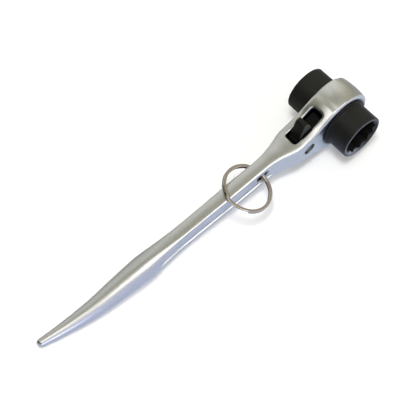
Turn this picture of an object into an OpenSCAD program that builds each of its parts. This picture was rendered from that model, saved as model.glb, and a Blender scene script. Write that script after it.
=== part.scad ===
// Ratchet podger: a double-socket scaffold ratchet with a tapered, gently bent tail.
// Millimetres. The socket axis is Y, the tail runs to +X, the tool stands on edge with Z up.

/* [Sockets] */
// Across-flats size of the front twelve-point socket
front_af = 23; // [21:0.5:23.5]
// Across-flats size of the rear twelve-point socket
rear_af = 21; // [19:0.5:22]
// Outside diameter of the front socket
front_od = 31.5; // [30.5:0.1:32.4]
// Outside diameter of the rear socket
rear_od = 30.8; // [30:0.1:32]
// Distance of the front mouth from the middle of the handle
front_reach = 26.4; // [24:0.1:34]
// Distance of the rear mouth from the middle of the handle
rear_reach = 25.6; // [24:0.1:34]
// Diameter of the flange that covers the edge of the head bore
flange_d = 34.2; // [34:0.1:36]
// Thickness of that flange
flange_t = 1; // [0.8:0.1:2.4]

/* [Head] */
// Diameter of the ring head over its crown
head_d = 43; // [42:0.5:48]
// Thickness of the ring head
head_t = 19.6; // [19.4:0.1:20]
// Bore of the head in which both socket hubs turn
bore_d = 31.8; // [31:0.1:32.5]
// How far the rim falls from its crown to its edges
crown = 0.7; // [0.4:0.1:1.6]

/* [Ratchet] */
// Number of teeth on the ratchet gear
gear_teeth = 24; // [24:12:24]
// Diameter over the gear teeth
gear_tip_d = 30.8; // [30.4:0.1:31]
// Depth of the gear teeth
tooth_depth = 1.8; // [1.4:0.1:2]
// Width of the toothed band
gear_w = 10; // [9.6:0.1:10.2]
// Across-flats size of the hexagon spigots
spigot_af = 21; // [20:0.1:21.4]
// Through bore that lets a long stud pass
stud_bore_d = 16; // [12:0.5:16]

/* [Reversing rocker] */
// Distance of the pivot pin from the socket axis
pin_x = 29.8; // [29.4:0.1:30.2]
// Diameter of the pivot pin
pin_d = 6.6; // [6:0.1:6.8]
// Swing of the rocker from its middle to either working position
throw = 10; // [9.5:0.5:10]
// Width of the slot through the neck
slot_w = 9.2; // [9:0.1:10]
// Height of the thumb horns above the pin
horn_h = 18.4; // [16:0.2:18.6]
// Diameter of the detent ball
ball_d = 4; // [3.8:0.1:4]

/* [Handle] */
// Height of the shank
shank_h = 16.4; // [15:0.1:17]
// Thickness of the shank
shank_t = 9.2; // [8.4:0.1:9.8]
// Depth of the panel sunk in each side of the shank
panel_depth = 0.8; // [0.5:0.1:1.8]
// Diameter of the swelling where the tail begins
swell_d = 16.1; // [15:0.1:18]
// Distance of that swelling from the socket axis
swell_x = 162; // [158:1:166]
// Diameter of the rounded tip
tip_d = 5.2; // [4:0.1:7]
// Distance of the tip from the socket axis
tip_x = 239.5; // [220:0.5:250]
// Sideways bend of the tail at its tip
tail_bend = 5; // [0:0.1:10]

/* [Lanyard ring] */
// Distance of the lanyard hole from the socket axis
hole_x = 65; // [64:0.5:70]
// Diameter of the lanyard hole
hole_d = 8.8; // [8.6:0.1:9]
// Outside diameter of the split ring
ring_od = 33.8; // [33:0.2:35]
// Width of the ring wire across the ring
wire_w = 2.2; // [1.8:0.1:2.4]
// Thickness of one turn of the ring wire
wire_t = 1.25; // [1:0.05:1.35]
// Lean of the ring as it lies on the shank
ring_lean = 20; // [20:1:60]

/* [Hidden] */
$fn = 96;
over = 1;
far = 60;
run_gap = 0.05;
side_gap = 0.4;
head_r = head_d / 2;
half_t = head_t / 2;
bore_r = bore_d / 2;
hub_r = bore_r - run_gap;
gear_r = gear_tip_d / 2;
root_r = gear_r - tooth_depth;
pitch = 360 / gear_teeth;
gear_half = gear_w / 2;
hub_y = gear_half + 0.1;
floor_y = 10;
cavity_y = 12.2;
relief_r = 13.5;
spigot_r = spigot_af / 2 / cos(30);
neck_r = 10.2;
groove_r = 9.4;
clip_r = 12.6;
clip_t = 1;
spigot_end = 11.8;
slot_x0 = 13.8;
relief_x0 = 12.7;
relief_h = 25;
slot_x1 = 38.6;
slot_corner = 1.5;
heel_r = 8;
ball_r = ball_d / 2;
notch_sink = 0.53;
notch_gap = 0.1;
ball_bore_r = ball_r + run_gap;
ball_x = pin_x + heel_r + ball_r + 0.02;
ball_bore_end = 53;
swell_r = swell_d / 2;
tip_r = tip_d / 2;
ring_r = (ring_od - wire_w) / 2;
ring_pass = 1.3;
ring_shift = 5.4;
ring_roll = -15;

function mix(a, b, t) = a + (b - a) * t;
function ease(t) = t <= 0 ? 0 : t >= 1 ? 1 : t * t * (3 - 2 * t);
function span(x, a, b) = (x - a) / (b - a);

// Places a drawing of the X and Z plane across the tool, centred on its middle plane.
module across(width) rotate([90, 0, 0]) linear_extrude(width, center = true) children();

// A revolved solid whose axis is the socket axis; the drawing holds radius and Y.
module about_socket_axis() rotate([-90, 0, 0]) rotate_extrude() children();

// A straight bar along the socket axis from y0 to y1.
module bar_y(r, y0, y1) translate([0, y0, 0]) rotate([-90, 0, 0]) cylinder(r = r, h = y1 - y0);

// Sections of the forging: distance from the socket axis, half height, half thickness,
// and how far the rounded edge reaches across the thickness and down the height.
forging = [
    [4, 20.9, half_t - 0.15, 2.2, 1.8],
    [14, 16.6, half_t - 0.1, 3.4, 2],
    [24, 12.9, half_t - 0.1, 4, 1.8],
    [30, 11.2, half_t - 0.1, 4, 1.8],
    [36, 9.9, half_t - 0.1, 4, 1.8],
    [41, 9.4, 9.2, 4, 1.8],
    [46, 9, 7.7, 4, 1.8],
    [52, 8.9, 6.1, 4, 1.8],
    [60, 8.4, 4.9, 4.2, 1.8],
    [84, shank_h / 2, shank_t / 2 + 0.2, 4.2, 1.8],
    [130, shank_h / 2 - 0.4, shank_t / 2 - 0.15, 4, 2],
    [146, shank_h / 2 - 0.3, 6, 5.4, 4.7],
    [swell_x, swell_r, swell_r, swell_r - 0.2, swell_r - 0.2]];

function chord(i, c) = i == len(forging) - 1 ? 0 :
    let (a = forging[max(0, i - 1)], b = forging[i + 1])
    (b[c] - a[c]) / (b[0] - a[0]);
function bay(x) = max([for (i = [0:len(forging) - 2]) if (forging[i][0] <= x) i]);
function blend(p, q, mp, mq, t) =
    mix(p, q, ease(t)) + mp * t * (1 - t) * (1 - t) - mq * t * t * (1 - t);
function shape(x, c) =
    let (i = bay(x), p = forging[i], q = forging[i + 1], d = q[0] - p[0])
    blend(p[c], q[c], chord(i, c) * d, chord(i + 1, c) * d, (x - p[0]) / d);
function panel(x) = panel_depth * ease(span(x, 53, 62)) * (1 - ease(span(x, 144, 156)));

// Round tail: radius and sideways bend at x.
function tail_r(x) = mix(swell_r, tip_r, pow(max(0, span(x, swell_x - 2, tip_x - tip_r)), 1.35));
function bow(x) = -tail_bend * pow(max(0, span(x, 195, tip_x)), 1.6);
function bow_angle(x) = atan(bow(x + 0.5) - bow(x - 0.5));

// One section: rounded edges above and below a side that carries the sunk panel.
// The edges are fuller than an ellipse up to the swell, where the section turns round.
edge_turns = [90, 66, 44, 22, 0];
function fullness(x) = mix(2 / 3, 1, ease(span(x, 130, swell_x)));
function side(h, w, ry, rz, d, e) =
    let (flat = h - rz, lip = 0.86 * flat, foot = 0.7 * flat)
    concat(
        [for (a = edge_turns) [w - ry + ry * pow(cos(a), e), flat + rz * pow(sin(a), e)]],
        [[w, lip], [w - d, foot], [w - d, -foot], [w, -lip]],
        [for (i = [len(edge_turns) - 1:-1:0])
            let (a = edge_turns[i]) [w - ry + ry * pow(cos(a), e), -flat - rz * pow(sin(a), e)]]);
function section(h, w, ry, rz, d, e) =
    let (s = side(h, w, ry, rz, d, e), m = len(s))
    concat(s, [for (i = [m - 1:-1:0]) [-s[i][0], s[i][1]]]);
function round_section(r) = section(r, r, r - 0.2 * r / swell_r, r - 0.2 * r / swell_r, 0, 1);
function stand(x, pts) =
    let (a = bow_angle(x))
    [for (p = pts) [x - p[0] * sin(a), bow(x) + p[0] * cos(a), p[1]]];

neck_stations = [for (x = [4:5:34]) x];
shank_stations = [for (x = [37:3.5:swell_x - 1]) x];
tail_stations = [for (t = [0:1 / 15:1]) mix(swell_x, tip_x - tip_r, t)];
tip_turns = [20, 40, 60, 80];

module forged_bar() {
    body = [for (x = concat(neck_stations, shank_stations))
        stand(x, section(shape(x, 1), shape(x, 2), shape(x, 3), shape(x, 4), panel(x), fullness(x)))];
    tail = [for (x = tail_stations) stand(x, round_section(tail_r(x)))];
    tip = [for (a = tip_turns)
        stand(tip_x - tip_r + tip_r * sin(a), round_section(tip_r * cos(a)))];
    rings = concat(body, tail, tip);
    n = len(rings[0]);
    m = len(rings);
    sides = [for (i = [0:m - 2], j = [0:n - 1])
        let (k = (j + 1) % n)
        each [[i * n + j, i * n + k, (i + 1) * n + j], [i * n + k, (i + 1) * n + k, (i + 1) * n + j]]];
    near_cap = [[for (j = [n - 1:-1:0]) j]];
    far_cap = [[for (j = [0:n - 1]) (m - 1) * n + j]];
    polyhedron([for (r = rings, p = r) p], concat(sides, near_cap, far_cap));
}

// Ring head: a disc with a crowned rim and rounded edges.
module head_disc() {
    edge = 1.2;
    about_socket_axis() polygon(concat(
        [[0, -half_t], [head_r - crown - edge, -half_t]],
        [for (s = [-1:0.2:1]) [head_r - crown * s * s, s * (half_t - edge)]],
        [[head_r - crown - edge, half_t], [0, half_t]]));
}

module window() {
    mid = (slot_x0 + slot_x1) / 2;
    long = slot_x1 - slot_x0;
    translate([mid, 0, -far]) linear_extrude(2 * far) {
        square([long - 2 * slot_corner, slot_w], center = true);
        square([long, slot_w - 2 * slot_corner], center = true);
        for (sx = [-1, 1], sy = [-1, 1])
            translate([sx * (long / 2 - slot_corner), sy * (slot_w / 2 - slot_corner)])
                circle(slot_corner, $fn = 32);
    }
    translate([relief_x0, -slot_w / 2, -relief_h / 2]) cube([mid - relief_x0, slot_w, relief_h]);
}

module pin_hole() {
    sink_y = 8;
    translate([pin_x, 0, 0]) {
        bar_y(pin_d / 2, -far, far);
        bar_y(pin_d / 2 + 0.7, sink_y, far);
        bar_y(pin_d / 2 + 0.7, -far, -sink_y);
    }
}

module lanyard_hole() translate([hole_x, 0, 0]) bar_y(hole_d / 2, -far, far);

module ball_bore() translate([slot_x1 - over, 0, 0]) rotate([0, 90, 0])
    cylinder(r = ball_bore_r, h = ball_bore_end - slot_x1 + over, $fn = 48);

module handle() color("#C9CCCF") difference() {
    union() {
        head_disc();
        forged_bar();
    }
    bar_y(bore_r, -far, far);
    window();
    pin_hole();
    lanyard_hole();
    ball_bore();
}

// Ratchet gear: open symmetrical teeth so that it drives both ways.
root_flat = 1.5;
tip_flat = 1.3;
function polar(r, a) = [r * cos(a), r * sin(a)];

module gear_outline() polygon([for (i = [0:gear_teeth - 1])
    let (a = i * pitch)
    each [polar(root_r, a - root_flat), polar(root_r, a + root_flat),
        polar(gear_r, a + pitch / 2 - tip_flat), polar(gear_r, a + pitch / 2 + tip_flat)]]);

module spigot() {
    bar_hex(spigot_r, 0, floor_y);
    bar_y(groove_r, 0, spigot_end);
    bar_y(neck_r, floor_y + clip_t + run_gap, spigot_end);
}

module bar_hex(r, y0, y1) translate([0, y0, 0]) rotate([-90, 0, 0])
    cylinder(r = r, h = y1 - y0, $fn = 6);

module ratchet_gear() color("#8C9094") difference() {
    union() {
        across(gear_w) gear_outline();
        spigot();
        mirror([0, 1, 0]) spigot();
    }
    bar_y(stud_bore_d / 2, -far, far);
}

// Socket drawn towards +Y: hub in the head bore, flange, barrel and broached mouth.
module socket(af, od, reach) {
    r = od / 2;
    corner_r = af / 2 / cos(30);
    lip = 1.2;
    fillet = 0.8;
    flange_y = half_t + 0.1;
    difference() {
        about_socket_axis() polygon([
            [0, hub_y], [hub_r - 0.4, hub_y], [hub_r, hub_y + 0.4], [hub_r, flange_y],
            [flange_d / 2, flange_y], [flange_d / 2, flange_y + flange_t - 0.5],
            [flange_d / 2 - 0.5, flange_y + flange_t], [r + 0.2, flange_y + flange_t],
            [r, flange_y + flange_t + fillet], [r, reach - lip],
            [r - 0.35, reach - 0.35], [r - lip, reach], [0, reach]]);
        bar_hex(spigot_r + run_gap, 0, far);
        bar_y(relief_r - (front_af - af) / 2, floor_y, cavity_y);
        bar_hex(corner_r, cavity_y - over / 2, far);
        rotate([0, 30, 0]) bar_hex(corner_r, cavity_y - over / 2, far);
        about_socket_axis() polygon([
            [0, reach - 1], [af / 2, reach - 1], [corner_r + 0.5, reach + 0.3], [0, reach + 0.3]]);
    }
}

module front_socket() color("#2B2D2E") socket(front_af, front_od, front_reach);

module rear_socket() color("#2B2D2E") mirror([0, 1, 0]) socket(rear_af, rear_od, rear_reach);

// Retaining ring with an open gap and two lugs' worth of clearance.
module circlip() {
    gap = 5;
    difference() {
        bar_y(clip_r - 0.2, floor_y + run_gap / 2, floor_y + clip_t + run_gap / 2);
        bar_y(groove_r + run_gap, 0, far);
        translate([-gap / 2, 0, 0]) cube([gap, far, far]);
    }
}

module front_circlip() color("#6B6F72") circlip();

module rear_circlip() color("#6B6F72") mirror([0, 1, 0]) circlip();

// Rocker drawn about its pin at mid throw. Horn and tooth are drawn above and mirrored below.
module about_pin(a) translate([pin_x, 0]) rotate(a) translate([-pin_x, 0]) children();

module horn() {
    foot_z = 6.5;
    heel_x = 34.6;
    peak = [for (t = [0:0.125:1]) [mix(26.2, 21, t), mix(horn_h, 9.6, (1 - cos(180 * t)) / 2)]];
    thumb = [for (t = [1:-0.125:0]) [mix(27.4, heel_x, t), mix(horn_h, foot_z, (1 - cos(180 * t)) / 2)]];
    polygon(concat(thumb, peak, [[18, -over], [heel_x, -over]]));
}

// Jaw: cleared by the gear tips as the rocker swings from one working position to the other.
module jaw() {
    tip_x = 14.6;
    difference() {
        polygon([[tip_x, -10.4], [16, -11.6], [18, -11.3], [22, -9.6], [26, -8],
            [26, 8], [22, 9.6], [18, 11.3], [16, 11.6], [tip_x, 10.4]]);
        for (a = [-throw:throw / 4:throw]) about_pin(a) circle(gear_r + 0.3);
    }
}

module pawl_tooth() about_pin(-throw) rotate(2 * pitch) polygon([
    polar(root_r + 0.2, -0.9), polar(gear_r - 0.1, -4.4), polar(gear_r + 1.6, -4.4),
    polar(gear_r + 1.6, 2.6), polar(gear_r + 0.3, 5.0), polar(gear_r - 0.1, 5.0),
    polar(root_r + 0.2, 0.9)]);

module heel() difference() {
    polygon(concat([[pin_x, 0]], [for (a = [-36:3:36]) [pin_x + heel_r * cos(a), heel_r * sin(a)]]));
    for (a = [-throw, throw]) about_pin(a) translate([pin_x + heel_r + ball_r - notch_sink, 0])
        circle(ball_r + notch_gap, $fn = 48);
}

module rocker_side() {
    horn();
    pawl_tooth();
}

module reversing_pawl() color("#26282A") across(slot_w - 2 * side_gap) difference() {
    union() {
        jaw();
        heel();
        rocker_side();
        mirror([0, 1]) rocker_side();
    }
    translate([pin_x, 0]) circle(pin_d / 2 + run_gap);
}

module pawl_pin() color("#8A8D90") translate([pin_x, 0, 0]) {
    end_y = 8.3;
    chamfer = 0.4;
    about_socket_axis() polygon([
        [0, -end_y], [pin_d / 2 - chamfer, -end_y], [pin_d / 2, -end_y + chamfer],
        [pin_d / 2, end_y - chamfer], [pin_d / 2 - chamfer, end_y], [0, end_y]]);
}

module detent_ball() color("#B9BCC0") translate([ball_x, 0, 0]) sphere(r = ball_r, $fn = 48);

// Coil of round wire swept along a helix.
module coil(mean_r, wire_r, length, turns) {
    steps = 14;
    facets = 8;
    m = round(turns * steps);
    pts = [for (i = [0:m], j = [0:facets - 1])
        let (a = i * 360 / steps, b = j * 360 / facets, r = mean_r + wire_r * cos(b))
        [r * cos(a), r * sin(a), wire_r + (length - 2 * wire_r) * i / m + wire_r * sin(b)]];
    sides = [for (i = [0:m - 1], j = [0:facets - 1])
        let (k = (j + 1) % facets)
        each [[i * facets + j, (i + 1) * facets + j, i * facets + k],
            [i * facets + k, (i + 1) * facets + j, (i + 1) * facets + k]]];
    caps = [[for (j = [0:facets - 1]) j], [for (j = [facets - 1:-1:0]) m * facets + j]];
    polyhedron(pts, concat(sides, caps));
}

module detent_spring() color("#9A9DA0") {
    wire_r = 0.3;
    start = ball_x + ball_r * 0.72;
    translate([start, 0, 0]) rotate([0, 90, 0])
        coil(ball_r - wire_r - 0.15, wire_r, ball_bore_end - 0.05 - start, 7);
}

// Split ring: two flat turns of wire with one sloping crossover between them.
module split_coil() {
    step = 10;
    half_gap = 15;
    lift = (wire_t + 0.1) / 2;
    c = 0.35;
    w = wire_w / 2;
    t = wire_t / 2;
    profile = [[w - c, -t], [w, -t + c], [w, t - c], [w - c, t],
        [-w + c, t], [-w, t - c], [-w, -t + c], [-w + c, -t]];
    n = len(profile);
    angles = [for (a = [half_gap:step:720 - half_gap]) a];
    m = len(angles);
    pts = [for (a = angles, p = profile)
        let (r = ring_r + p[0], z = p[1] + mix(-lift, lift, ease(span(a, 360 - half_gap, 360 + half_gap))))
        [r * cos(a), r * sin(a), z]];
    sides = [for (i = [0:m - 2], j = [0:n - 1])
        let (k = (j + 1) % n)
        each [[i * n + j, (i + 1) * n + j, i * n + k], [i * n + k, (i + 1) * n + j, (i + 1) * n + k]]];
    caps = [[for (j = [0:n - 1]) j], [for (j = [n - 1:-1:0]) (m - 1) * n + j]];
    polyhedron(pts, concat(sides, caps));
}

module split_ring() color("#B8B2A4") translate([hole_x, 0, 0]) rotate([0, -ring_lean, 0])
    rotate([ring_roll, 0, 0]) translate([ring_r - ring_pass, ring_shift, 0]) rotate([0, 0, 28]) split_coil();

handle();
ratchet_gear();
front_socket();
rear_socket();
front_circlip();
rear_circlip();
reversing_pawl();
pawl_pin();
detent_ball();
detent_spring();
split_ring();
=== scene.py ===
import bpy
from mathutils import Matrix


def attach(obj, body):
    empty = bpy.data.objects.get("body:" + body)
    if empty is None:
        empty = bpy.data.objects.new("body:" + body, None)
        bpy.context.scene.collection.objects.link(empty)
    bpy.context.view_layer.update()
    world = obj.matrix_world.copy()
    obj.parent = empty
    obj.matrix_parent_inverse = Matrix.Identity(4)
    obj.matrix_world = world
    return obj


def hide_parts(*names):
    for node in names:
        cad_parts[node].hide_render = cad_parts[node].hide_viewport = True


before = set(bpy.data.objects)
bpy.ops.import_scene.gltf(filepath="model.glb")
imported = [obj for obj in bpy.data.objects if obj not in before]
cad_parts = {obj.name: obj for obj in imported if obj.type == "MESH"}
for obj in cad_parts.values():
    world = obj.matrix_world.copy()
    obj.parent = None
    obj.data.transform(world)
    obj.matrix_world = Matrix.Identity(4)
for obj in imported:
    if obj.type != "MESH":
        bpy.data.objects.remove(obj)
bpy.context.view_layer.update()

import math

import bpy
import numpy as np
from mathutils import Matrix, Vector

# Camera
# The product photograph looks down on the tool from the side of its front socket,
# held level, from about 0.83 m, with a long lens that keeps the handle's taper true.
camera_right = (-0.7402, 0.6719, -0.0249)
camera_up = (-0.6086, -0.6538, 0.4496)
camera_back = (0.2858, 0.3479, 0.8929)
camera_place = (0.3322, 0.2731, 0.7095)
camera = bpy.data.objects.new("camera", bpy.data.cameras.new("camera"))
camera.data.lens = 110.94
camera.data.sensor_width = 36.0
camera.data.clip_end = 20.0
camera.matrix_world = Matrix.Translation(camera_place) @ Matrix(
    (camera_right, camera_up, camera_back)).transposed().to_4x4()
bpy.context.collection.objects.link(camera)
bpy.context.scene.camera = camera
bpy.context.scene.view_settings.view_transform = "Standard"


# Handle
# One drop forging of chrome-vanadium steel: ring head, slotted neck, panelled shank and round
# podger tail, gently bent. The flash is ground away, the holes are machined with broken edges,
# and the whole is blasted fine and satin chrome plated.
MM = 0.001
head_radius, head_half, crown, crown_half, bore_radius = 21.5, 9.8, 0.7, 8.6, 15.9
neck_drop, neck_start, neck_full, saddle_blend = 6.0, 1.0, 10.0, 5.0
slot_start, slot_end, slot_half, slot_corner = 13.8, 38.6, 4.75, 2.3
relief_start, relief_half = 12.7, 12.5
pin_x, pin_radius, sink_radius, sink_floor = 29.8, 3.3, 4.0, 8.0
hole_x, hole_radius = 65.0, 4.4
detent_bore_radius, detent_bore_end = 2.05, 53.0
slot_edge, bore_edge, sink_edge, pin_edge, hole_edge = 1.2, 0.8, 0.7, 0.2, 1.3
swell_x, swell_radius, tip_x, tip_radius = 162.0, 8.05, 239.5, 2.6
tail_start, tail_power, tail_edge = 160.0, 1.35, 0.976
tail_bend, bend_start, bend_power = 5.0, 195.0, 1.6
panel_depth, panel_wall = 0.95, 0.45
panel_in, panel_deep, panel_rise, panel_out = 53.0, 62.0, 149.0, 155.0
panel_wide, panel_narrow, narrow_start, narrow_end = 4.7, 1.2, 124.0, 154.0
round_start, top_camber = 130.0, 0.09
chamfer_end, full_edge_start = 4.0, 16.0

# Sections along the handle: distance from the socket axis, half height, half thickness,
# and how far the rounded edge reaches across the thickness and down the height.
forging = np.array([
    (-24, 18.4, 9.8, 0.8, 0.9), (2, 18.4, 9.8, 0.8, 0.9), (5, 18.4, 9.75, 0.9, 0.9),
    (14, 16.6, 9.7, 3.0, 1.4), (24, 12.9, 9.7, 3.2, 1.3), (30, 11.2, 9.7, 3.2, 1.3),
    (36, 9.9, 9.7, 3.2, 1.3), (41, 9.4, 9.2, 3.2, 1.3), (46, 9.0, 7.7, 3.0, 1.3),
    (52, 8.9, 6.1, 2.8, 1.2), (60, 8.4, 4.9, 2.0, 1.0), (84, 8.2, 4.8, 1.8, 0.9),
    (130, 7.8, 4.45, 1.8, 1.0), (146, 7.9, 6.0, 5.2, 4.5), (162, 8.05, 8.05, 7.85, 7.85)])


def ramp(x, start, stop):
    """From 0 before the start to 1 past the stop, eased at both ends."""
    t = np.clip((x - start) / (stop - start), 0, 1)
    return t * t * (3 - 2 * t)


def rounding(a, b, reach):
    """The lower of two distances, with their crossing rounded over the reach."""
    near = np.maximum(reach - np.abs(a - b), 0) / reach
    return np.minimum(a, b) - near * near * reach / 4


def cut(solid, hollow, edge):
    """The solid less the hollow, with the rim of the cut broken over the edge."""
    return -rounding(-solid, hollow, edge)


def corner(p, q, rp, rq, power=2):
    """Distance from a long edge whose two faces lie at p and q, rounded by rp and rq.

    Power 1 cuts a chamfer, 2 rounds it as an ellipse, and a higher power more fully."""
    u, v = p / rp + 1, q / rq + 1
    inner = np.minimum(np.maximum(u, v), 0)
    outer = (np.maximum(u, 0) ** power + np.maximum(v, 0) ** power) ** (1 / power)
    return (outer + inner - 1) * np.minimum(rp, rq)


def along(column):
    """One column of the forging's sections, drawn as a smooth curve through them."""
    at, value = forging[:, 0], forging[:, column]
    slope = np.empty_like(value)
    slope[1:-1] = (value[2:] - value[:-2]) / (at[2:] - at[:-2])
    slope[0], slope[1], slope[-1] = 0, 0, 0
    i = np.clip(np.searchsorted(at, stations, side="right") - 1, 0, len(at) - 2)
    d = at[i + 1] - at[i]
    t = np.clip((stations - at[i]) / d, 0, 1)
    return (value[i] + (value[i + 1] - value[i]) * ramp(t, 0, 1)
            + slope[i] * d * t * (1 - t) ** 2 - slope[i + 1] * d * t * t * (1 - t))


stations = np.arange(-24, tip_x + 2, 0.05)
tail_t = np.clip((stations - tail_start) / (tip_x - tip_radius - tail_start), 0, 1)
tail_radius = swell_radius + (tip_radius - swell_radius) * tail_t ** tail_power
in_tail = stations > swell_x
half_height = np.where(in_tail, tail_radius, along(1))
half_width = np.where(in_tail, tail_radius, along(2))
edge_across = np.where(in_tail, tail_radius * tail_edge, along(3))
edge_down = np.where(in_tail, tail_radius * tail_edge, along(4))
panel_sink = panel_depth * (
    ramp(stations, panel_in, panel_deep) * (1 - ramp(stations, panel_rise, panel_out)))
panel_half = panel_wide - (panel_wide - panel_narrow) * ramp(stations, narrow_start, narrow_end)
bend_t = np.clip((stations - bend_start) / (tip_x - bend_start), 0, None)
bend = -tail_bend * bend_t ** bend_power
bend_cosine = 1 / np.hypot(1, np.gradient(bend, stations))
turning_round = ramp(stations, round_start, swell_x)
edge_power = 1 + 2 * ramp(stations, chamfer_end, full_edge_start) - turning_round
camber = top_camber * (1 - turning_round)


def handle_field(x, y, z):
    """Distance outside the forging's skin in millimetres, below zero in the steel."""
    h, w, ry, rz, sink, foot, off, cosine, power, fall = (
        np.interp(x, stations, row) for row in (
            half_height, half_width, edge_across, edge_down, panel_sink, panel_half,
            bend, bend_cosine, edge_power, camber))
    side, rise = np.abs(y - off) * cosine, np.abs(z)
    top = rise - h + fall * side * side / w
    side = side + sink * (1 - ramp(rise, foot, foot + panel_wall))
    bar = np.maximum(top + neck_drop * (1 - ramp(x, neck_start, neck_full)), -x)
    rim = np.hypot(x, z) - head_radius + crown * (y / crown_half) ** 2
    body = corner(side - w, rounding(bar, rim, saddle_blend), ry, rz, power)
    tip = np.sqrt((x - tip_x + tip_radius) ** 2 + side ** 2 + z ** 2) - tip_radius
    body = np.where(x > tip_x - tip_radius, tip, body)
    from_pin = np.hypot(x - pin_x, z)
    middle, half = (slot_start + slot_end) / 2, (slot_end - slot_start) / 2
    dx, dy = np.abs(x - middle) - half + slot_corner, np.abs(y) - slot_half + slot_corner
    window = np.hypot(np.maximum(dx, 0), np.maximum(dy, 0)) + np.minimum(np.maximum(dx, dy), 0)
    relief = np.maximum(np.maximum(relief_start - x, x - middle),
                        np.maximum(np.abs(y) - slot_half, rise - relief_half))
    body = cut(body, window - slot_corner, slot_edge)
    body = np.maximum(body, -relief)
    body = cut(body, np.hypot(x, z) - bore_radius, bore_edge)
    body = cut(body, np.maximum(from_pin - sink_radius, sink_floor - np.abs(y)), sink_edge)
    body = cut(body, from_pin - pin_radius, pin_edge)
    body = cut(body, np.hypot(x - hole_x, z) - hole_radius, hole_edge)
    detent = np.maximum(np.hypot(y, z) - detent_bore_radius,
                        np.maximum(slot_end - 1 - x, x - detent_bore_end))
    return np.maximum(body, -detent)


def lines(start, *bands):
    """Grid lines from the start through bands, each given by its end and its spacing."""
    found = [start]
    for stop, step in bands:
        count = round((stop - found[-1]) / step) + 1
        found += np.linspace(found[-1], stop, count)[1:].tolist()
    return np.array(found)


def skin_of(field, axes):
    """Quads on the field's zero surface: one point in each crossed cell, set down on the skin."""
    value = field(axes[0][:, None, None], axes[1][None, :, None], axes[2][None, None, :])
    inside = value < 0
    shape = np.array(value.shape) - 1
    corners = [(i, j, k) for i in (0, 1) for j in (0, 1) for k in (0, 1)]
    count = sum(inside[i:i + shape[0], j:j + shape[1], k:k + shape[2]].astype(np.int8)
                for i, j, k in corners)
    cells = np.argwhere((count > 0) & (count < 8))
    number = np.full(shape, -1, np.int64)
    number[tuple(cells.T)] = np.arange(len(cells))
    at_corner = np.stack([value[tuple((cells + c).T)] for c in corners])
    total, crossings = np.zeros((len(cells), 3)), np.zeros(len(cells))
    for a, p in enumerate(corners):
        for b, q in enumerate(corners):
            if sum(q) - sum(p) == 1 and sum(abs(m - n) for m, n in zip(p, q)) == 1:
                crossed = (at_corner[a] < 0) != (at_corner[b] < 0)
                gap = np.where(crossed, at_corner[a] - at_corner[b], 1)
                t = np.where(crossed, at_corner[a] / gap, 0)[:, None]
                total += crossed[:, None] * (np.array(p) + t * (np.array(q) - np.array(p)))
                crossings += crossed
    size = np.stack([np.diff(a)[i] for a, i in zip(axes, cells.T)], 1)
    low = np.stack([a[i] for a, i in zip(axes, cells.T)], 1)
    points = low + total / crossings[:, None] * size
    passes, reach, least_slope = 4, 0.02, 0.05
    for _ in range(passes):
        at = field(*points.T)
        slope = np.stack([
            (field(*(points + d).T) - field(*(points - d).T)) / (2 * reach)
            for d in np.eye(3) * reach], 1)
        step = at[:, None] * slope / np.maximum((slope ** 2).sum(1), least_slope)[:, None]
        points -= np.clip(step, -size / 3, size / 3)
    quads = []
    for axis in range(3):
        u, v = (axis + 1) % 3, (axis + 2) % 3
        lower = [slice(None)] * 3
        upper = [slice(None)] * 3
        lower[axis], upper[axis] = slice(0, -1), slice(1, None)
        first, second = inside[tuple(lower)], inside[tuple(upper)]
        edge = np.argwhere(first != second)
        out = first[tuple(edge.T)]
        around = []
        for du, dv in ((-1, -1), (0, -1), (0, 0), (-1, 0)):
            shifted = edge.copy()
            shifted[:, u] += du
            shifted[:, v] += dv
            around.append(number[tuple(shifted.T)])
        ring = np.stack(around, 1)
        ring[~out] = ring[~out][:, ::-1]
        quads.append(ring)
    return points, np.concatenate(quads)


def made(name, points, faces, smooth_below=None):
    """A piece from points in millimetres, smooth shaded, or sharp where it turns further."""
    mesh = bpy.data.meshes.new(name)
    mesh.from_pydata((np.asarray(points) * MM).tolist(), [], np.asarray(faces).tolist())
    mesh.shade_smooth()
    if smooth_below:
        mesh.set_sharp_from_angle(angle=math.radians(smooth_below))
    piece = bpy.data.objects.new(name, mesh)
    bpy.context.collection.objects.link(piece)
    return piece


def mark(mesh, name, amount):
    """An amount from 0 to 1 at each point of the mesh, for a material to read by its name."""
    mesh.attributes.new(name, "FLOAT", "POINT").data.foreach_set("value", amount)


def linear(code):
    """An sRGB hex colour as the linear numbers that a shader takes."""
    parts = [int(code[i:i + 2], 16) / 255 for i in (1, 3, 5)]
    return tuple(
        p / 12.92 if p <= 0.04045 else ((p + 0.055) / 1.055) ** 2.4 for p in parts) + (1.0,)


def add(tree, kind, settings=(), values=(), links=()):
    """A node in the tree, with its settings, its inputs' values and what feeds its inputs."""
    node = tree.nodes.new(kind)
    for key, value in dict(settings).items():
        setattr(node, key, value)
    for key, value in dict(values).items():
        node.inputs[key].default_value = value
    for key, source in dict(links).items():
        tree.links.new(source, node.inputs[key])
    return node


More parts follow.
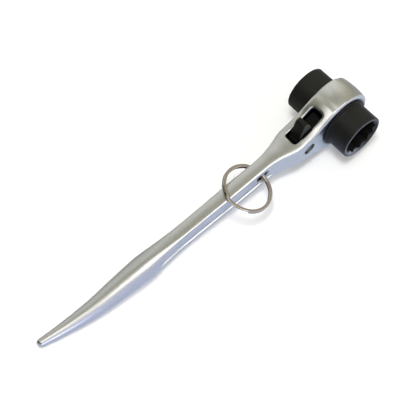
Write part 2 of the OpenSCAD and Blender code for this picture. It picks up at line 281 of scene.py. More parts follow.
# Satin chrome plate over a blasted forging: a bright cool metal whose reflections are soft at
# the edges. Blast grain is 0.1 mm, too fine to show, so it is drawn at 0.9 mm; the forging's own
# slow waviness is about 9 mm long. Painted shade darkens it in the window, the holes and by the
# flanges.
grains_per_mm, waves_per_mm = 1.1, 0.11
satin_chrome = bpy.data.materials.new("satin chrome plated steel")
satin_chrome.use_nodes = True
tree = satin_chrome.node_tree
shader = tree.nodes["Principled BSDF"]
shader.inputs["Metallic"].default_value = 1.0
place = add(tree, "ShaderNodeTexCoord").outputs["Object"]
grain = add(tree, "ShaderNodeTexNoise",
            values={"Scale": grains_per_mm / MM, "Detail": 2.0}, links={"Vector": place})
wave = add(tree, "ShaderNodeTexNoise",
           values={"Scale": waves_per_mm / MM, "Detail": 1.0}, links={"Vector": place})
tone = add(tree, "ShaderNodeMix", {"data_type": "RGBA"},
           {6: linear("#C2C4C6"), 7: linear("#E1E3E5")}, {0: grain.outputs["Fac"]})
# Painted shade: near black mixed in by its mark, in the window, the holes and by the flanges.
painted_shade = add(tree, "ShaderNodeAttribute", {"attribute_name": "painted_shade"})
colour = add(tree, "ShaderNodeMix", {"data_type": "RGBA"}, {7: linear("#1C1B1A")},
             {0: painted_shade.outputs["Fac"], 6: tone.outputs[2]})
sheen = add(tree, "ShaderNodeMapRange", values={"To Min": 0.27, "To Max": 0.33},
            links={"Value": grain.outputs["Fac"]})
hills = add(tree, "ShaderNodeBump", values={"Strength": 0.25, "Distance": 0.4 * MM},
            links={"Height": wave.outputs["Fac"]})
skin = add(tree, "ShaderNodeBump", values={"Strength": 0.08, "Distance": 0.06 * MM},
           links={"Height": grain.outputs["Fac"], "Normal": hills.outputs["Normal"]})
tree.links.new(colour.outputs[2], shader.inputs["Base Color"])
tree.links.new(sheen.outputs["Result"], shader.inputs["Roughness"])
tree.links.new(skin.outputs["Normal"], shader.inputs["Normal"])

# The grid is finest across the groove and at the head and the tip.
points, faces = skin_of(handle_field, (
    lines(-22.6, (70, 0.5), (tip_x - 5, 1.0), (tip_x + 1.2, 0.4)), lines(-11, (11, 0.46)),
    lines(-22.6, (-5.6, 0.48), (5.6, 0.22), (22.6, 0.48))))
handle = made("forged_handle", points, faces)
px, py, pz = points.T
from_axis = np.hypot(px, pz)
below_top = np.interp(px, stations, half_height) - np.abs(pz)
below_side = np.interp(px, stations, half_width) - np.abs(py)
in_slot = (np.abs(py) < slot_half + 0.1) & (px > relief_start - 0.2) & (px < slot_end + 0.1)
in_sink = np.hypot(px - pin_x, pz) < sink_radius + 0.3
in_hole = np.hypot(px - hole_x, pz) < hole_radius + 0.2
by_flange = (np.abs(py) > head_half - 0.6) & (px < pin_x)

# How dark the painted shade is in each place, and over how many millimetres it comes in.
handle_shade = np.zeros(len(points))
for where, amount in (
        (in_slot, ramp(below_top, 0.4, 1.8)), (in_sink, 0.75 * ramp(below_side, 0.0, 0.3)),
        (in_hole, 0.9 * ramp(below_side, 1.4, 2.2)),
        (by_flange, 0.6 * (1 - ramp(from_axis, 18.0, 19.4)))):
    handle_shade = np.maximum(handle_shade, np.where(where, amount, 0.0))
mark(handle.data, "painted_shade", handle_shade)
handle.data.materials.append(satin_chrome)
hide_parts("handle")
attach(handle, "handle")

# Ratchet gear, circlips, ball and spring
# Hardened steel pieces inside the head and neck. They are turned, broached, coiled and ground,
# left bright and oiled; the spool shows only as a ring at the floor of each socket.

# Ground steel under oil: a darker grey metal with a fine lay, 1.1 by 0.2 mm as it is drawn here.
lay_per_mm = (0.9, 5.0, 0.9)
ground_steel = bpy.data.materials.new("ground hardened steel")
ground_steel.use_nodes = True
tree = ground_steel.node_tree
shader = tree.nodes["Principled BSDF"]
shader.inputs["Metallic"].default_value = 1.0
place = add(tree, "ShaderNodeTexCoord").outputs["Object"]
lay = add(tree, "ShaderNodeMapping", values={"Scale": [count / MM for count in lay_per_mm]},
          links={"Vector": place})
scratch = add(tree, "ShaderNodeTexNoise", values={"Scale": 1.0, "Detail": 3.0},
              links={"Vector": lay.outputs["Vector"]})
tone = add(tree, "ShaderNodeMix", {"data_type": "RGBA"},
           {6: linear("#7E8287"), 7: linear("#A3A7AB")}, {0: scratch.outputs["Fac"]})
sheen = add(tree, "ShaderNodeMapRange", values={"To Min": 0.22, "To Max": 0.38},
            links={"Value": scratch.outputs["Fac"]})
skin = add(tree, "ShaderNodeBump", values={"Strength": 0.15, "Distance": 0.04 * MM},
           links={"Height": scratch.outputs["Fac"]})
tree.links.new(tone.outputs[2], shader.inputs["Base Color"])
tree.links.new(sheen.outputs["Result"], shader.inputs["Roughness"])
tree.links.new(skin.outputs["Normal"], shader.inputs["Normal"])
for inner in ("ratchet_gear", "front_circlip", "rear_circlip", "detent_ball", "detent_spring"):
    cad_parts[inner].data.materials.clear()
    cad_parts[inner].data.materials.append(ground_steel)

# Sockets
# Two turned and broached twelve-point sockets of chrome-molybdenum steel. Each has a hub that
# runs in the head's bore and a flange over its edge; both are black phosphated and oiled.
turns = 240
angle = np.arange(turns) * 2 * math.pi / turns
hub_start, hub_radius, hub_chamfer = 5.1, 15.85, 0.4
flange_start, flange_end, flange_radius, flange_under, flange_over = 9.9, 10.9, 17.6, 0.2, 0.45
barrel_fillet, barrel_lip = 0.6, 0.7
mouth_clear, mouth_slope = 0.9, 1.33
floor_y, cavity_y, spigot_flats = 10.0, 12.2, 21.1
sharp_turn = 24


def hexagon(flats, turned_by=0.0):
    """Radius of a hexagon's outline at each angle, its corners on the X axis."""
    return flats / 2 / np.cos((angle + turned_by) % (math.pi / 3) - math.pi / 6)


def arc(centre, radius, start, stop, steps):
    """Radius and Y of points on an arc of the turned profile, with its angles in degrees."""
    a = np.radians(np.linspace(start, stop, steps))
    return [(centre[0] + radius * math.cos(t), centre[1] + radius * math.sin(t)) for t in a]


def turned(name, rings, wear_and_glint, direction):
    """A closed turning from rings of (radius, Y); a radius may differ from angle to angle."""
    points, faces = [], []
    around = np.arange(turns)
    for i, (radius, y) in enumerate(rings):
        r = np.broadcast_to(radius, turns)
        height = np.full(turns, direction * y)
        points.append(np.stack([r * np.cos(angle), height, r * np.sin(angle)], 1))
        a, b = i * turns + around, (i + 1) % len(rings) * turns + around
        faces.append(np.stack([a, np.roll(a, -1), np.roll(b, -1), b], 1)[:, ::direction])
    piece = made(name, np.concatenate(points), np.concatenate(faces), sharp_turn)
    mark(piece.data, "wear_and_glint", np.concatenate([np.full(turns, 1.0) * amount for amount in wear_and_glint]))
    return piece


def socket(name, flats, outside, reach, relief, direction):
    """One socket: hub, flange and barrel outside, then mouth, broach, relief and hexagon inside.

    Nuts have rubbed the rim of its mouth, lighter on one side as painted highlight, and the lobes
    of its broach on one side carry painted glints."""
    r, lip, fillet, chamfer = outside / 2, barrel_lip, barrel_fillet, hub_chamfer
    mouth_radius = flats / 2 / math.cos(math.pi / 6) + mouth_clear
    star = np.maximum(hexagon(flats), hexagon(flats, math.pi / 6))
    outer = [(hub_radius - chamfer, hub_start), (hub_radius, hub_start + chamfer),
             (hub_radius, flange_start)]
    outer += arc((flange_radius - flange_under, flange_start + flange_under),
                 flange_under, -90, 0, 4)
    outer += arc((flange_radius - flange_over, flange_end - flange_over), flange_over, 0, 90, 5)
    outer += arc((r + fillet, flange_end + fillet), fillet, 270, 180, 6)
    outer += [(r, y) for y in np.linspace(flange_end + 2, reach - lip - 0.6, 5)]
    outer += arc((r - lip, reach - lip), lip, 0, 76, 7)
    wear_and_glint = [0.1 if y > reach - 0.4 else 0.0 for _, y in outer]
    inner = [(r - lip, reach), (r - lip - 0.1, reach), (mouth_radius + 0.1, reach),
             (mouth_radius, reach - 0.03)]
    # The rim is rubbed, with painted highlight lighter towards one side; the lobes carry painted
    # glints.
    rim_wear_and_sheen = 0.22 + 0.14 * np.sin(angle) + 0.06 * np.cos(angle)
    wear_and_glint += [0.12, rim_wear_and_sheen, rim_wear_and_sheen, 0.8 * rim_wear_and_sheen]
    lobe_glint = 0.03 + 0.67 * np.clip(np.cos(angle + math.radians(45)), 0, 1) ** 3
    for drop in (0.2, 0.4, 0.7, 1.0, 1.3, 1.6, 1.9, 2.2):
        cone = mouth_radius - drop * mouth_slope
        inner.append((np.maximum(star, cone), reach - drop))
        wear_and_glint.append(np.clip((cone - star) / 0.2, 0, 1) * lobe_glint)
    inner += [(star, y) for y in np.linspace(reach - 3, cavity_y, 4)]
    inner += [(relief, cavity_y), (relief, floor_y)]
    inner += [(hexagon(spigot_flats), floor_y), (hexagon(spigot_flats), hub_start)]
    wear_and_glint += [0.0] * (len(outer) + len(inner) - len(wear_and_glint))
    return turned(name, outer + inner, wear_and_glint, direction)


# Black phosphate under oil: a fine crystalline black that reflects little and evenly, and rubs to
# grey steel on its edges. Its crystals are 0.05 mm and are drawn at 0.4 mm, its mottle at 3 mm.
crystals_per_mm, mottles_per_mm = 2.5, 0.33
black_phosphate = bpy.data.materials.new("black phosphated steel")
black_phosphate.use_nodes = True
tree = black_phosphate.node_tree
shader = tree.nodes["Principled BSDF"]
shader.inputs["Specular IOR Level"].default_value = 0.3
place = add(tree, "ShaderNodeTexCoord").outputs["Object"]
crystal = add(tree, "ShaderNodeTexNoise",
              values={"Scale": crystals_per_mm / MM, "Detail": 2.0}, links={"Vector": place})
mottle = add(tree, "ShaderNodeTexNoise",
             values={"Scale": mottles_per_mm / MM, "Detail": 2.0}, links={"Vector": place})
# The mark brings grey steel: real wear, and on the socket mouths painted highlight too.
wear_and_glint_node = add(tree, "ShaderNodeAttribute", {"attribute_name": "wear_and_glint"})
tone = add(tree, "ShaderNodeMix", {"data_type": "RGBA"},
           {6: linear("#101110"), 7: linear("#171817")}, {0: mottle.outputs["Fac"]})
patch = add(tree, "ShaderNodeMapRange",
            values={"From Min": 0.25, "From Max": 0.7, "To Min": 0.5, "To Max": 1.0},
            links={"Value": crystal.outputs["Fac"]})
bare = add(tree, "ShaderNodeMath", {"operation": "MULTIPLY"}, {},
           {0: wear_and_glint_node.outputs["Fac"], 1: patch.outputs["Result"]})
colour = add(tree, "ShaderNodeMix", {"data_type": "RGBA"}, {7: linear("#C6CCDA")},
             {0: bare.outputs["Value"], 6: tone.outputs[2]})
sheen = add(tree, "ShaderNodeMapRange", values={"To Min": 0.40, "To Max": 0.56},
            links={"Value": crystal.outputs["Fac"]})
skin = add(tree, "ShaderNodeBump", values={"Strength": 0.12, "Distance": 0.05 * MM},
           links={"Height": crystal.outputs["Fac"]})
tree.links.new(colour.outputs[2], shader.inputs["Base Color"])
tree.links.new(bare.outputs["Value"], shader.inputs["Metallic"])
tree.links.new(sheen.outputs["Result"], shader.inputs["Roughness"])
tree.links.new(skin.outputs["Normal"], shader.inputs["Normal"])

for name, node, flats, outside, reach, relief, direction in (
        ("socket_23", "front_socket", 23.0, 31.5, 26.4, 13.5, 1),
        ("socket_21", "rear_socket", 21.0, 30.8, 25.6, 12.5, -1)):
    piece = socket(name, flats, outside, reach, relief, direction)
    piece.data.materials.append(black_phosphate)
    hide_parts(node)
    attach(piece, "drive")

# Reversing rocker
# A hardened steel rocker on the cross pin, with a thumb horn above and below the neck, a tooth
# for each direction, and two notches in its heel for the ball. It is tumbled and black oxided.
rocker_half, rocker_edge, rocker_bore = 4.2, 0.75, 3.35
heel_radius, ball_offset, notch_radius, throw = 8.0, 9.47, 2.1, 10.0
horn_height, horn_back, horn_front = 19.4, 29.0, 27.0
back_foot, front_foot = (35.6, 6.5), (21.6, 9.6)
gear_radius, gear_root, gear_pitch, gear_gap = 15.4, 13.6, 15.0, 0.3


def outline(x, z, corners):
    """Signed distance from a closed outline, below zero inside it."""
    nearest = np.full(np.broadcast(x, z).shape, 1e9)
    side = np.ones(nearest.shape)
    for (ax, az), (bx, bz) in zip(corners, corners[1:] + corners[:1]):
        ex, ez, px, pz = bx - ax, bz - az, x - ax, z - az
        t = np.clip((px * ex + pz * ez) / (ex * ex + ez * ez), 0, 1)
        nearest = np.minimum(nearest, (px - ex * t) ** 2 + (pz - ez * t) ** 2)
        a, b, c = z >= az, z < bz, ex * pz > ez * px
        side = np.where((a & b & c) | (~a & ~b & ~c), -side, side)
    return side * np.sqrt(nearest)


def about_pin(x, z, degrees):
    """A point turned about the pin."""
    c, s = math.cos(math.radians(degrees)), math.sin(math.radians(degrees))
    return pin_x + (x - pin_x) * c - z * s, (x - pin_x) * s + z * c


def polar(radius, degrees):
    """A point on the gear, turned to where the rocker's tooth meets it at mid throw."""
    a = math.radians(degrees + 2 * gear_pitch)
    return about_pin(radius * math.cos(a), radius * math.sin(a), -throw)


def flank(top_x, foot, steps=12):
    """One flank of the horn, from its top down to the foot in a long S."""
    return [(top_x + (foot[0] - top_x) * i / steps,
             horn_height + (foot[1] - horn_height) * (1 - math.cos(math.pi * i / steps)) / 2)
            for i in range(steps + 1)]


horn = flank(horn_back, back_foot)[::-1] + flank(horn_front, front_foot) + [(18, -1), (35.6, -1)]
upper_jaw = [(26, 8), (22, 9.6), (18, 11.3), (16, 11.6), (14.6, 10.4)]
jaw = [(x, -z) for x, z in reversed(upper_jaw)] + upper_jaw
tooth = [polar(gear_root + 0.2, -0.9), polar(gear_radius - 0.1, -4.4),
         polar(gear_radius + 1.6, -4.4), polar(gear_radius + 1.6, 2.6),
         polar(gear_radius + gear_gap, 5.0), polar(gear_radius - 0.1, 5.0),
         polar(gear_root + 0.2, 0.9)]
heel = [(pin_x, 0.0)] + [
    (pin_x + heel_radius * math.cos(math.radians(a)), heel_radius * math.sin(math.radians(a)))
    for a in range(-36, 37, 3)]


def rocker_profile(x, z):
    """Distance outside the rocker's side view."""
    rise = np.abs(z)
    face = outline(x, z, jaw)
    back = outline(x, z, heel)
    for step in np.linspace(-throw, throw, 9):
        gx, gz = about_pin(0.0, 0.0, step)
        face = np.maximum(face, gear_radius + gear_gap - np.hypot(x - gx, z - gz))
    for stop in (-throw, throw):
        bx, bz = about_pin(pin_x + ball_offset, 0.0, stop)
        back = np.maximum(back, notch_radius - np.hypot(x - bx, z - bz))
    limb = np.minimum(outline(x, rise, horn), outline(x, rise, tooth))
    whole = np.minimum(np.minimum(face, back), limb)
    return np.maximum(whole, rocker_bore - np.hypot(x - pin_x, z))


def rocker_field(x, y, z):
    """Distance outside the rocker, its side view carried across with rounded edges."""
    return corner(rocker_profile(x, z), np.abs(y) - rocker_half, rocker_edge, rocker_edge)


# Black oxide on tumbled steel: a thin, slightly warm black that keeps the metal's own sheen, grey
# where a thumb rubs the rounded edges, and dull and dark with painted shade down in the window.
# Tumbling marks are about 0.6 mm.
tumble_marks_per_mm = 1.7
black_oxide = bpy.data.materials.new("black oxided steel")
black_oxide.use_nodes = True
tree = black_oxide.node_tree
shader = tree.nodes["Principled BSDF"]
shader.inputs["Specular IOR Level"].default_value = 0.3
place = add(tree, "ShaderNodeTexCoord").outputs["Object"]
marks = add(tree, "ShaderNodeTexNoise",
            values={"Scale": tumble_marks_per_mm / MM, "Detail": 2.0}, links={"Vector": place})
wear_and_glint_node = add(tree, "ShaderNodeAttribute", {"attribute_name": "wear_and_glint"})
tone = add(tree, "ShaderNodeMix", {"data_type": "RGBA"},
           {6: linear("#0B0B0A"), 7: linear("#121110")}, {0: marks.outputs["Fac"]})
patch = add(tree, "ShaderNodeMapRange",
            values={"From Min": 0.3, "From Max": 0.7, "To Min": 0.2, "To Max": 0.7},
            links={"Value": marks.outputs["Fac"]})
bare = add(tree, "ShaderNodeMath", {"operation": "MULTIPLY"}, {},
           {0: wear_and_glint_node.outputs["Fac"], 1: patch.outputs["Result"]})
colour = add(tree, "ShaderNodeMix", {"data_type": "RGBA"}, {7: linear("#5E5D56")},
             {0: bare.outputs["Value"], 6: tone.outputs[2]})
sheen = add(tree, "ShaderNodeMapRange", values={"To Min": 0.32, "To Max": 0.46},
            links={"Value": marks.outputs["Fac"]})
# Painted shade from its mark darkens and dulls the rocker down in the window.
shade_in_window = add(tree, "ShaderNodeAttribute", {"attribute_name": "painted_shade"})
dull = add(tree, "ShaderNodeMix", {}, {3: 0.85},
           {0: shade_in_window.outputs["Fac"], 2: sheen.outputs["Result"]})
shaded_colour = add(tree, "ShaderNodeMix", {"data_type": "RGBA"}, {7: linear("#050505")},
             {0: shade_in_window.outputs["Fac"], 6: colour.outputs[2]})
skin = add(tree, "ShaderNodeBump", values={"Strength": 0.12, "Distance": 0.05 * MM},
           links={"Height": marks.outputs["Fac"]})
tree.links.new(shaded_colour.outputs[2], shader.inputs["Base Color"])
tree.links.new(dull.outputs[0], shader.inputs["Roughness"])
tree.links.new(skin.outputs["Normal"], shader.inputs["Normal"])

points, faces = skin_of(rocker_field, (
    lines(12.4, (38.9, 0.25)), lines(-4.7, (4.7, 0.25)), lines(-20, (20, 0.25))))
rocker = made("rocker", points, faces)
px, py, pz = points.T
edge = np.minimum(rocker_profile(px, pz), np.abs(py) - rocker_half) / rocker_edge + 1
above_top = np.abs(pz) - np.interp(px, stations, half_height)
mark(rocker.data, "wear_and_glint", np.clip(edge / 0.3, 0, 1) * np.clip((np.abs(pz) - 8) / 4, 0, 1))
# Painted shade: darker and duller down in the window, below the top of the neck.
mark(rocker.data, "painted_shade", 1 - ramp(above_top, -3.0, 0.0))
rocker.data.materials.append(black_oxide)
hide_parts("reversing_pawl")
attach(rocker, "rocker")

# Cross pin
# A hardened pin driven through both cheeks of the neck, its ends set back in shallow recesses.
# They are ground flat, with a chamfer and a centre mark, and the rest keeps its black finish.
pin_half = 8.3
pin_end = [(0.02, 0.3), (0.4, 0.25), (0.8, 0.0), (2.2, 0.0), (2.6, 0.03), (3.0, 0.12),
           (pin_radius - 0.01, 0.4)]
pin_rings = ([(r, drop - pin_half) for r, drop in pin_end]
             + [(r, pin_half - drop) for r, drop in reversed(pin_end)])
ground_end = [0.75 if r < 2.3 else 0.2 if r < 3 else 0.0 for r, _ in pin_rings]
pin = turned("cross_pin", pin_rings, ground_end, 1)
pin.data.transform(Matrix.Translation((pin_x * MM, 0, 0)))
pin.data.materials.append(black_phosphate)
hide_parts("pawl_pin")
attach(pin, "handle")

# Split ring
# Spring wire of flat section coiled into two touching turns with one crossover, nickel plated.
# It passes through the lanyard hole and lies over the top of the shank.
ring_radius, wire_width, wire_thick, wire_round, wire_gap = 15.8, 2.2, 1.25, 0.6, 0.1
ring_lean, ring_roll, ring_pass, ring_shift, ring_turn = 20.0, -15.0, 0.95, 5.0, 25.0
open_angle, ring_steps, sharp_wire = 27.0, 281, 50

# Nickel plate on drawn wire: a bright, faintly warm mirror that shows the room in thin streaks,
# with painted shade in the seam between the turns. Drawing marks are about 1.1 mm long.
wire_marks_per_mm = 0.9
nickel = bpy.data.materials.new("bright nickel plated spring steel")
nickel.use_nodes = True
tree = nickel.node_tree
shader = tree.nodes["Principled BSDF"]
shader.inputs["Metallic"].default_value = 1.0
place = add(tree, "ShaderNodeTexCoord").outputs["Object"]
drawn = add(tree, "ShaderNodeTexNoise",
            values={"Scale": wire_marks_per_mm / MM, "Detail": 2.0}, links={"Vector": place})
tone = add(tree, "ShaderNodeMix", {"data_type": "RGBA"},
           {6: linear("#B6AEA6"), 7: linear("#D4CCC6")}, {0: drawn.outputs["Fac"]})
sheen = add(tree, "ShaderNodeMapRange", values={"To Min": 0.07, "To Max": 0.15},
            links={"Value": drawn.outputs["Fac"]})
skin = add(tree, "ShaderNodeBump", values={"Strength": 0.1, "Distance": 0.05 * MM},
           links={"Height": drawn.outputs["Fac"]})
seam = add(tree, "ShaderNodeAttribute", {"attribute_name": "painted_shade"})
colour = add(tree, "ShaderNodeMix", {"data_type": "RGBA"}, {7: linear("#241E18")},
             {0: seam.outputs["Fac"], 6: tone.outputs[2]})
tree.links.new(colour.outputs[2], shader.inputs["Base Color"])
tree.links.new(sheen.outputs["Result"], shader.inputs["Roughness"])
tree.links.new(skin.outputs["Normal"], shader.inputs["Normal"])

coil = bpy.data.node_groups.new("two turn split ring", "GeometryNodeTree")
for label, size in (
        ("Radius", ring_radius * MM), ("Wire width", wire_width * MM),
        ("Wire thickness", wire_thick * MM), ("Wire rounding", wire_round * MM),
        ("Rise between turns", (wire_thick + wire_gap) * MM),
        ("End angle", math.radians(open_angle))):
    size_input = coil.interface.new_socket(label, in_out="INPUT", socket_type="NodeSocketFloat")
    size_input.default_value = size
finish_input = coil.interface.new_socket(
    "Wire finish", in_out="INPUT", socket_type="NodeSocketMaterial")
coil.interface.new_socket("Geometry", in_out="OUTPUT", socket_type="NodeSocketGeometry")
sizes = add(coil, "NodeGroupInput").outputs
path = add(coil, "GeometryNodeCurvePrimitiveLine")
steps = add(coil, "GeometryNodeResampleCurve", values={"Count": ring_steps},
            links={"Curve": path.outputs["Curve"]})
part_way = add(coil, "GeometryNodeSplineParameter").outputs["Factor"]
end_angle = add(coil, "ShaderNodeMath", {"operation": "SUBTRACT"}, {0: 4 * math.pi},
                {1: sizes["End angle"]})
turn = add(coil, "ShaderNodeMapRange", links={
    "Value": part_way, "To Min": sizes["End angle"], "To Max": end_angle.outputs["Value"]})
before = add(coil, "ShaderNodeMath", {"operation": "SUBTRACT"}, {0: 2 * math.pi},
             {1: sizes["End angle"]})
after = add(coil, "ShaderNodeMath", {"operation": "ADD"}, {0: 2 * math.pi},
            {1: sizes["End angle"]})
crossing = add(coil, "ShaderNodeMapRange", {"interpolation_type": "SMOOTHSTEP"},
               {"To Min": -0.5, "To Max": 0.5}, {
                   "Value": turn.outputs["Result"], "From Min": before.outputs["Value"],
                   "From Max": after.outputs["Value"]})
height = add(coil, "ShaderNodeMath", {"operation": "MULTIPLY"}, {}, {
    0: crossing.outputs["Result"], 1: sizes["Rise between turns"]})
spot = []
for operation in ("COSINE", "SINE"):
    wave = add(coil, "ShaderNodeMath", {"operation": operation}, {}, {0: turn.outputs["Result"]})
    spot.append(add(coil, "ShaderNodeMath", {"operation": "MULTIPLY"}, {}, {
        0: wave.outputs["Value"], 1: sizes["Radius"]}))
point = add(coil, "ShaderNodeCombineXYZ", links={
    "X": spot[0].outputs["Value"], "Y": spot[1].outputs["Value"],
    "Z": height.outputs["Value"]})
wound = add(coil, "GeometryNodeSetPosition", links={
    "Geometry": steps.outputs["Curve"], "Position": point.outputs["Vector"]})
level = add(coil, "GeometryNodeSetCurveNormal", {"mode": "Z_UP"}, {}, {
    "Curve": wound.outputs["Geometry"]})
section = add(coil, "GeometryNodeCurvePrimitiveQuadrilateral", links={
    "Width": sizes["Wire width"], "Height": sizes["Wire thickness"]})
soft = add(coil, "GeometryNodeFilletCurve", {"mode": "POLY"}, {"Count": 6}, {
    "Curve": section.outputs["Curve"], "Radius": sizes["Wire rounding"]})
swept = add(coil, "GeometryNodeCurveToMesh", values={"Fill Caps": True}, links={
    "Curve": level.outputs["Curve"], "Profile Curve": soft.outputs["Curve"]})
real = add(coil, "GeometryNodeRealizeInstances", links={"Geometry": swept.outputs["Mesh"]})
dressed = add(coil, "GeometryNodeSetMaterial", links={
    "Geometry": real.outputs["Geometry"], "Material": sizes["Wire finish"]})
add(coil, "NodeGroupOutput", links={"Geometry": dressed.outputs["Geometry"]})

blank = bpy.data.objects.new("ring_blank", bpy.data.meshes.new("ring_blank"))
bpy.context.collection.objects.link(blank)
winder = blank.modifiers.new("winder", "NODES")
winder.node_group = coil
winder[finish_input.identifier] = nickel
finished = bpy.data.meshes.new_from_object(
    blank.evaluated_get(bpy.context.evaluated_depsgraph_get()))
bpy.data.objects.remove(blank)
split_ring = bpy.data.objects.new("lanyard_ring", finished)
bpy.context.collection.objects.link(split_ring)
wire = np.empty(len(finished.vertices) * 3)
finished.vertices.foreach_get("co", wire)
wx, wy, wz = wire.reshape(-1, 3).T / MM
from_crossing = np.abs(np.degrees(np.arctan2(wy, wx)))
# Painted shade in the seam between the two turns, from past the crossover on.
mark(finished, "painted_shade", (
    ramp(from_crossing, open_angle, open_angle + 12) * (1 - ramp(np.abs(wz), 0.15, 0.55))))
finished.transform(
    Matrix.Translation((hole_x * MM, 0, 0)) @ Matrix.Rotation(math.radians(-ring_lean), 4, "Y")
    @ Matrix.Rotation(math.radians(ring_roll), 4, "X")
    @ Matrix.Translation(((ring_radius - ring_pass) * MM, ring_shift * MM, 0))
    @ Matrix.Rotation(math.radians(ring_turn), 4, "Z"))
finished.shade_smooth()
finished.set_sharp_from_angle(angle=math.radians(sharp_wire))
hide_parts("split_ring")
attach(split_ring, "lanyard")

# Table
# A wide sheet of matt white card. The tool stands on it on edge, on the rim of its head and the
# swelling of its tail, so the card lies at the small angle between those two.
card_tilt, card_half, card_clear = 4.35, 4.0, 0.05
card = bpy.data.objects.new("card", bpy.data.meshes.new("card"))
card.data.from_pydata([
    (-card_half, -card_half, 0), (card_half, -card_half, 0), (card_half, card_half, 0),
    (-card_half, card_half, 0)], [], [(0, 1, 2, 3)])
card.data.transform(Matrix.Rotation(math.radians(-card_tilt), 4, "Y")
                    @ Matrix.Translation((0, 0, -(head_radius + card_clear) * MM)))
bpy.context.collection.objects.link(card)

# Matt white card: white to the camera, with the tool's shadow on it. In the chrome it shows as a
# painted reflection: greyer, pale blue and deeper towards the tail, and a dark ground behind the
# tool.
white_card = bpy.data.materials.new("matt white card")
white_card.use_nodes = True
tree = white_card.node_tree
tree.nodes.remove(tree.nodes["Principled BSDF"])
ray = add(tree, "ShaderNodeLightPath").outputs
card_place = add(tree, "ShaderNodeTexCoord").outputs["Object"]
across = add(tree, "ShaderNodeSeparateXYZ", links={"Vector": card_place})
tailward = add(tree, "ShaderNodeMapRange", {"interpolation_type": "SMOOTHSTEP"},
               {"From Min": -0.02, "From Max": 0.16}, {"Value": across.outputs["X"]})
ahead = add(tree, "ShaderNodeMapRange", {"interpolation_type": "SMOOTHSTEP"},
            {"From Min": -0.012, "From Max": 0.0}, {"Value": across.outputs["Y"]})
paper_tone = add(tree, "ShaderNodeMix", {"data_type": "RGBA"},
                 {6: linear("#E6E6E6"), 7: linear("#A0A0A0")}, {0: ray["Is Glossy Ray"]})
paper = add(tree, "ShaderNodeBsdfDiffuse", links={"Color": paper_tone.outputs[2]})
mirrored = add(tree, "ShaderNodeMix", {"data_type": "RGBA"},
               {6: linear("#9AA8BE"), 7: linear("#8090B6")}, {0: tailward.outputs["Result"]})
behind = add(tree, "ShaderNodeMix", {"data_type": "RGBA"}, {6: linear("#404038")},
             {0: ahead.outputs["Result"], 7: mirrored.outputs[2]})
glow_tone = add(tree, "ShaderNodeMix", {"data_type": "RGBA"}, {6: linear("#868686")},
                {0: ray["Is Glossy Ray"], 7: behind.outputs[2]})
seen = add(tree, "ShaderNodeMath", {"operation": "ADD"}, {},
           {0: ray["Is Camera Ray"], 1: ray["Is Glossy Ray"]})
shown = add(tree, "ShaderNodeMath", {"operation": "ADD"}, {},
            {0: seen.outputs["Value"], 1: ray["Is Transmission Ray"]})
glow = add(tree, "ShaderNodeEmission",
           links={"Strength": shown.outputs["Value"], "Color": glow_tone.outputs[2]})
both = add(tree, "ShaderNodeAddShader",
           links={0: paper.outputs["BSDF"], 1: glow.outputs["Emission"]})
tree.links.new(both.outputs["Shader"], tree.nodes["Material Output"].inputs["Surface"])
card.data.materials.append(white_card)

# Studio
# A pale room for the chrome to mirror: olive grey above, cool in front and dark past the tail.
# Four soft lamps show only in reflections and draw the bright lines along the handle; a fifth,
# overhead, gives the matt light and the shadow on the card.
room_strength = 1.85
front_way, tail_way = (0.37, 0.94, -0.34), (1.0, 0.0, 0.0)
front_tones = ((0.0, "#C7C7C2"), (0.05, "#CBCAC1"), (0.12, "#ABA998"), (0.19, "#84806A"),
               (0.65, "#CECECE"), (0.74, "#D4D0D3"), (0.85, "#C4C9E6"))
tail_tones = ((0.05, "#F0F0F0"), (0.16, "#F8F8F8"), (0.30, "#CCCCCC"), (0.38, "#C2C2C2"),
              (0.50, "#D2D2D2"), (0.63, "#F6F6F6"), (0.71, "#5A5A50"))
room = bpy.data.worlds.new("pale studio")
bpy.context.scene.world = room
room.use_nodes = True
tree = room.node_tree
backdrop = tree.nodes["Background"]
ray_way = add(tree, "ShaderNodeTexCoord").outputs["Generated"]
walls = []
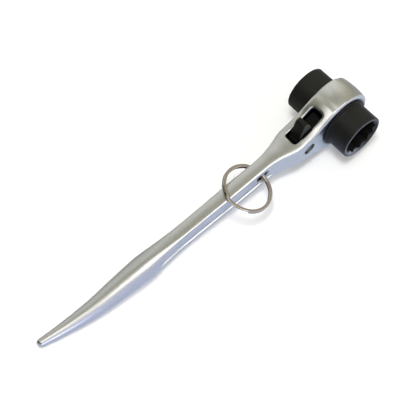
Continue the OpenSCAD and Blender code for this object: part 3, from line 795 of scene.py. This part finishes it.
for way, tones in ((front_way, front_tones), (tail_way, tail_tones)):
    reach = add(tree, "ShaderNodeVectorMath", {"operation": "DOT_PRODUCT"}, {1: way}, {0: ray_way})
    fraction = add(tree, "ShaderNodeMapRange", values={"From Min": -1.0, "From Max": 1.0},
                   links={"Value": reach.outputs["Value"]})
    wall = add(tree, "ShaderNodeValToRGB", links={"Fac": fraction.outputs["Result"]})
    stops = wall.color_ramp.elements
    for at, _ in tones[2:]:
        stops.new(at)
    for stop, (at, tone) in zip(stops, tones):
        stop.position = at
        stop.color = linear(tone)
    walls.append(wall.outputs["Color"])
ceiling = add(tree, "ShaderNodeMix", {"data_type": "RGBA", "blend_type": "MULTIPLY"}, {0: 1.0},
              {6: walls[0], 7: walls[1]})
tree.links.new(ceiling.outputs[2], backdrop.inputs["Color"])
backdrop.inputs["Strength"].default_value = room_strength

for name, place, aim, size, watts, tint, lights in (
        ("overhead_softbox", (-0.271, 0.50, 1.10), (0.09, 0, 0), (0.76, 0.70), 3.6, "#FFFBF2",
         "polish"),
        ("side_softbox", (0.84, 0.13, 1.74), (0.01, 0, 0.02), (0.95, 1.2), 6.3, "#FFFBF2",
         "polish"),
        ("rear_panel", (-0.32, -0.62, 1.00), (0.05, 0, 0), (0.42, 0.5), 0.2, "#FFFFFF", "polish"),
        ("low_window", (0.75, 0.95, 0.12), (0.2, 0, 0.0), (0.7, 0.34), 2.6, "#F4F8FF", "polish"),
        ("key_softbox", (0.18, 0.08, 1.14), (0.10, 0, 0), (0.38, 0.38), 8.8, "#FFFFFF", "card")):
    lamp = bpy.data.lights.new(name, "AREA")
    lamp.shape = "RECTANGLE"
    lamp.size, lamp.size_y = size
    lamp.energy = watts
    lamp.color = linear(tint)[:3]
    holder = bpy.data.objects.new(name, lamp)
    turn_to = (Vector(place) - Vector(aim)).to_track_quat("Z", "Y")
    holder.matrix_world = Matrix.Translation(place) @ turn_to.to_matrix().to_4x4()
    holder.visible_diffuse = lights == "card"
    holder.visible_glossy = lights == "polish"
    bpy.context.collection.objects.link(holder)
